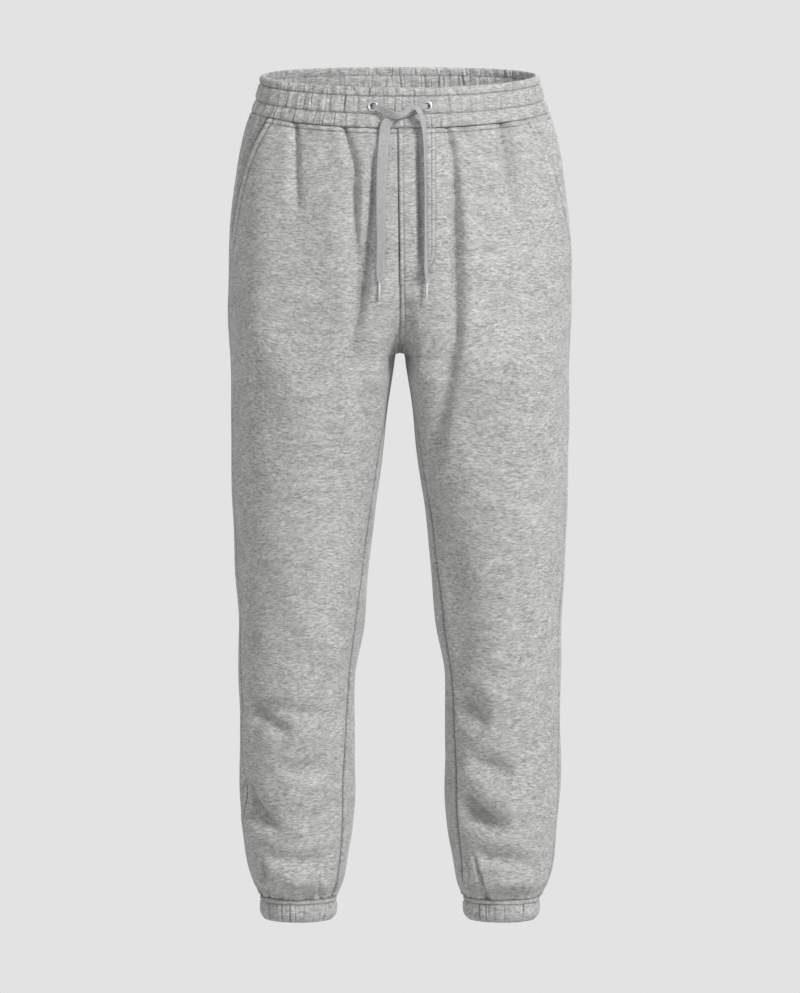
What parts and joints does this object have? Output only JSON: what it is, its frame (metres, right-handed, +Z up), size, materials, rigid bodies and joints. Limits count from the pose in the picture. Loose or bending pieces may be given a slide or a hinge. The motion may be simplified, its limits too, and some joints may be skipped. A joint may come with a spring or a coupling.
{
  "type": "sweatpants",
  "caption": "Jogger sweatpants in heather-grey fleece with a gathered drawstring waistband, slanted pockets, a mock fly and elastic cuffs, filled out as if worn.",
  "frame": {"origin": "middle of the waist, level with the side of the waistband, where a wearer holds the garment up", "axes": "+Z up, the front faces -Y, the wearer's left at +X"},
  "size_m": [0.4106, 0.2604, 1.029],
  "materials": {
    "fleece": "matt brushed heather grey",
    "cord": "matt flat woven grey tape",
    "metal": "satin"
  },
  "bodies": {
    "root": {"front_left": "fleece", "front_right": "fleece", "back_left": "fleece", "back_right": "fleece", "waistband": "fleece", "cuff_left": "fleece", "cuff_right": "fleece", "pocket_facing_left": "fleece", "pocket_facing_right": "fleece", "fly": "fleece", "eyelet_left": "metal", "eyelet_right": "metal", "drawstring_left": "cord", "drawstring_right": "cord", "aglet_left": "metal", "aglet_right": "metal"}
  },
  "joints": []
}
